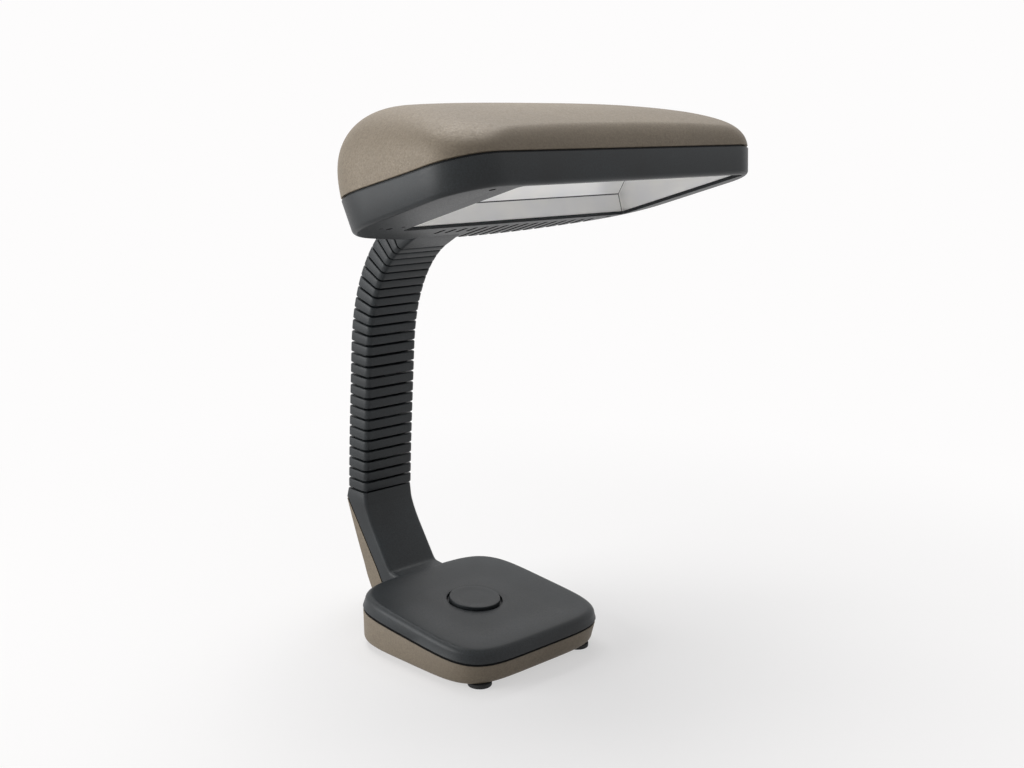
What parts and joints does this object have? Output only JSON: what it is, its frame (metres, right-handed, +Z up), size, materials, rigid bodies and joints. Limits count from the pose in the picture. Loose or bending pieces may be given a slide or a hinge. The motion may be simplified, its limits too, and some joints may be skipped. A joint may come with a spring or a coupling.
{
  "type": "desk lamp",
  "caption": "Desk lamp with a ribbed flexible neck, a wide reflector head on a wedge-shaped base, and a round push button.",
  "frame": {"origin": "middle of the lowest plane of the bounding box, at the height where the feet stand", "axes": "+Z up, -Y the front that the head reaches over, +X the long end of the head"},
  "size_m": [0.318, 0.247, 0.4163],
  "materials": {
    "charcoal": "fine-grained charcoal plastic",
    "taupe": "satin metallic taupe lacquer on plastic",
    "rubber": "matt moulded rubber",
    "steel": "zinc-plated steel",
    "reflector": "bright satin anodised sheet",
    "white_plastic": "smooth white plastic",
    "board": "lacquered circuit board",
    "glass": "white phosphor-coated glass"
  },
  "bodies": {
    "base": {"base_top_shell": "charcoal", "base_bottom_shell": "taupe", "switch_body": "white_plastic", "weight_plate": "steel", "ballast_board": "board", "base_terminal_block": "white_plastic", "cord_gland": "rubber", "foot_1": "rubber", "foot_2": "rubber", "foot_3": "rubber", "foot_4": "rubber", "base_screw_1": "steel", "base_screw_2": "steel", "base_screw_3": "steel", "base_screw_4": "steel", "neck_anchor": "steel"},
    "button": {"power_button": "charcoal"},
    "rib_01": {"neck_rib_01": "charcoal"},
    "rib_02": {"neck_rib_02": "charcoal"},
    "rib_03": {"neck_rib_03": "charcoal"},
    "rib_04": {"neck_rib_04": "charcoal"},
    "rib_05": {"neck_rib_05": "charcoal"},
    "rib_06": {"neck_rib_06": "charcoal"},
    "rib_07": {"neck_rib_07": "charcoal"},
    "rib_08": {"neck_rib_08": "charcoal"},
    "rib_09": {"neck_rib_09": "charcoal"},
    "rib_10": {"neck_rib_10": "charcoal"},
    "rib_11": {"neck_rib_11": "charcoal"},
    "rib_12": {"neck_rib_12": "charcoal"},
    "rib_13": {"neck_rib_13": "charcoal"},
    "rib_14": {"neck_rib_14": "charcoal"},
    "rib_15": {"neck_rib_15": "charcoal"},
    "rib_16": {"neck_rib_16": "charcoal"},
    "rib_17": {"neck_rib_17": "charcoal"},
    "rib_18": {"neck_rib_18": "charcoal"},
    "rib_19": {"neck_rib_19": "charcoal"},
    "rib_20": {"neck_rib_20": "charcoal"},
    "rib_21": {"neck_rib_21": "charcoal"},
    "rib_22": {"neck_rib_22": "charcoal"},
    "rib_23": {"neck_rib_23": "charcoal"},
    "rib_24": {"neck_rib_24": "charcoal"},
    "rib_25": {"neck_rib_25": "charcoal"},
    "rib_26": {"neck_rib_26": "charcoal"},
    "head": {"head_frame": "charcoal", "head_cover": "taupe", "reflector": "reflector", "lampholder": "white_plastic", "lamp_cap": "white_plastic", "lamp_tube": "glass", "lamp_clip": "steel", "head_terminal_block": "white_plastic", "head_screw_1": "steel", "head_screw_2": "steel", "head_screw_3": "steel"}
  },
  "joints": [
    {"name": "nod_01", "type": "hinge", "parent": "base", "child": "rib_01", "pos_m": [-0.041, 0.10856, 0.10476], "axis": [1, 0, 0], "range_deg": [-2.8, 2.8]},
    {"name": "nod_02", "type": "hinge", "parent": "rib_01", "child": "rib_02", "pos_m": [-0.041, 0.10828, 0.11355], "axis": [1, 0, 0], "range_deg": [-2.8, 2.8]},
    {"name": "nod_03", "type": "hinge", "parent": "rib_02", "child": "rib_03", "pos_m": [-0.041, 0.10801, 0.12235], "axis": [1, 0, 0], "range_deg": [-2.8, 2.8]},
    {"name": "sway_04", "type": "hinge", "parent": "rib_03", "child": "rib_04", "pos_m": [-0.041, 0.10773, 0.13114], "axis": [0, 0.9995, 0.0314], "range_deg": [-1.9, 1.9]},
    {"name": "nod_05", "type": "hinge", "parent": "rib_04", "child": "rib_05", "pos_m": [-0.041, 0.10745, 0.13994], "axis": [1, 0, 0], "range_deg": [-2.8, 2.8]},
    {"name": "nod_06", "type": "hinge", "parent": "rib_05", "child": "rib_06", "pos_m": [-0.041, 0.10718, 0.14874], "axis": [1, 0, 0], "range_deg": [-2.8, 2.8]},
    {"name": "nod_07", "type": "hinge", "parent": "rib_06", "child": "rib_07", "pos_m": [-0.041, 0.1069, 0.15753], "axis": [1, 0, 0], "range_deg": [-2.8, 2.8]},
    {"name": "sway_08", "type": "hinge", "parent": "rib_07", "child": "rib_08", "pos_m": [-0.041, 0.10663, 0.16633], "axis": [0, 0.9995, 0.0314], "range_deg": [-1.9, 1.9]},
    {"name": "nod_09", "type": "hinge", "parent": "rib_08", "child": "rib_09", "pos_m": [-0.041, 0.10635, 0.17512], "axis": [1, 0, 0], "range_deg": [-2.8, 2.8]},
    {"name": "nod_10", "type": "hinge", "parent": "rib_09", "child": "rib_10", "pos_m": [-0.041, 0.10607, 0.18392], "axis": [1, 0, 0], "range_deg": [-2.8, 2.8]},
    {"name": "nod_11", "type": "hinge", "parent": "rib_10", "child": "rib_11", "pos_m": [-0.041, 0.1058, 0.19271], "axis": [1, 0, 0], "range_deg": [-2.8, 2.8]},
    {"name": "sway_12", "type": "hinge", "parent": "rib_11", "child": "rib_12", "pos_m": [-0.041, 0.10552, 0.20151], "axis": [0, 0.9995, 0.0314], "range_deg": [-1.9, 1.9]},
    {"name": "nod_13", "type": "hinge", "parent": "rib_12", "child": "rib_13", "pos_m": [-0.041, 0.10524, 0.21031], "axis": [1, 0, 0], "range_deg": [-2.8, 2.8]},
    {"name": "nod_14", "type": "hinge", "parent": "rib_13", "child": "rib_14", "pos_m": [-0.041, 0.10497, 0.2191], "axis": [1, 0, 0], "range_deg": [-2.8, 2.8]},
    {"name": "nod_15", "type": "hinge", "parent": "rib_14", "child": "rib_15", "pos_m": [-0.041, 0.10453, 0.22789], "axis": [1, 0, 0], "range_deg": [-2.8, 2.8]},
    {"name": "sway_16", "type": "hinge", "parent": "rib_15", "child": "rib_16", "pos_m": [-0.041, 0.10371, 0.23665], "axis": [0, 0.9928, 0.1198], "range_deg": [-1.9, 1.9]},
    {"name": "nod_17", "type": "hinge", "parent": "rib_16", "child": "rib_17", "pos_m": [-0.041, 0.10239, 0.24535], "axis": [1, 0, 0], "range_deg": [-2.8, 2.8]},
    {"name": "nod_18", "type": "hinge", "parent": "rib_17", "child": "rib_18", "pos_m": [-0.041, 0.1005, 0.25395], "axis": [1, 0, 0], "range_deg": [-2.8, 2.8]},
    {"name": "nod_19", "type": "hinge", "parent": "rib_18", "child": "rib_19", "pos_m": [-0.041, 0.09802, 0.26239], "axis": [1, 0, 0], "range_deg": [-2.8, 2.8]},
    {"name": "sway_20", "type": "hinge", "parent": "rib_19", "child": "rib_20", "pos_m": [-0.041, 0.0949, 0.27062], "axis": [0, 0.9206, 0.3906], "range_deg": [-1.9, 1.9]},
    {"name": "nod_21", "type": "hinge", "parent": "rib_20", "child": "rib_21", "pos_m": [-0.041, 0.09113, 0.27857], "axis": [1, 0, 0], "range_deg": [-2.8, 2.8]},
    {"name": "nod_22", "type": "hinge", "parent": "rib_21", "child": "rib_22", "pos_m": [-0.041, 0.08671, 0.28618], "axis": [1, 0, 0], "range_deg": [-2.8, 2.8]},
    {"name": "nod_23", "type": "hinge", "parent": "rib_22", "child": "rib_23", "pos_m": [-0.041, 0.08165, 0.29338], "axis": [1, 0, 0], "range_deg": [-2.8, 2.8]},
    {"name": "sway_24", "type": "hinge", "parent": "rib_23", "child": "rib_24", "pos_m": [-0.041, 0.07595, 0.30008], "axis": [0, 0.7317, 0.6816], "range_deg": [-1.9, 1.9]},
    {"name": "nod_25", "type": "hinge", "parent": "rib_24", "child": "rib_25", "pos_m": [-0.041, 0.06965, 0.30623], "axis": [1, 0, 0], "range_deg": [-2.8, 2.8]},
    {"name": "nod_26", "type": "hinge", "parent": "rib_25", "child": "rib_26", "pos_m": [-0.041, 0.0628, 0.31175], "axis": [1, 0, 0], "range_deg": [-2.8, 2.8]},
    {"name": "nod_27", "type": "hinge", "parent": "rib_26", "child": "head", "pos_m": [-0.041, 0.05543, 0.31656], "axis": [1, 0, 0], "range_deg": [-2.8, 2.8]},
    {"name": "button_press", "type": "slide", "parent": "base", "child": "button", "axis": [0, 0.0958, -0.9954], "range_m": [0, 0.003], "stiffness_N_per_m": 800}
  ],
  "couplings": [
    {"joint": "nod_02", "follows": "nod_01", "ratio": 1},
    {"joint": "nod_03", "follows": "nod_01", "ratio": 1},
    {"joint": "nod_05", "follows": "nod_01", "ratio": 1},
    {"joint": "nod_06", "follows": "nod_01", "ratio": 1},
    {"joint": "sway_08", "follows": "sway_04", "ratio": 1},
    {"joint": "nod_09", "follows": "nod_07", "ratio": 1},
    {"joint": "nod_10", "follows": "nod_07", "ratio": 1},
    {"joint": "sway_12", "follows": "sway_04", "ratio": 1},
    {"joint": "nod_13", "follows": "nod_11", "ratio": 1},
    {"joint": "nod_14", "follows": "nod_11", "ratio": 1},
    {"joint": "nod_15", "follows": "nod_11", "ratio": 1},
    {"joint": "sway_16", "follows": "sway_04", "ratio": 1},
    {"joint": "nod_17", "follows": "nod_11", "ratio": 1},
    {"joint": "nod_18", "follows": "nod_11", "ratio": 1},
    {"joint": "sway_20", "follows": "sway_04", "ratio": 1},
    {"joint": "nod_21", "follows": "nod_19", "ratio": 1},
    {"joint": "nod_22", "follows": "nod_19", "ratio": 1},
    {"joint": "nod_23", "follows": "nod_19", "ratio": 1},
    {"joint": "sway_24", "follows": "sway_04", "ratio": 1},
    {"joint": "nod_25", "follows": "nod_19", "ratio": 1},
    {"joint": "nod_26", "follows": "nod_19", "ratio": 1},
    {"joint": "nod_27", "follows": "nod_19", "ratio": 1}
  ]
}
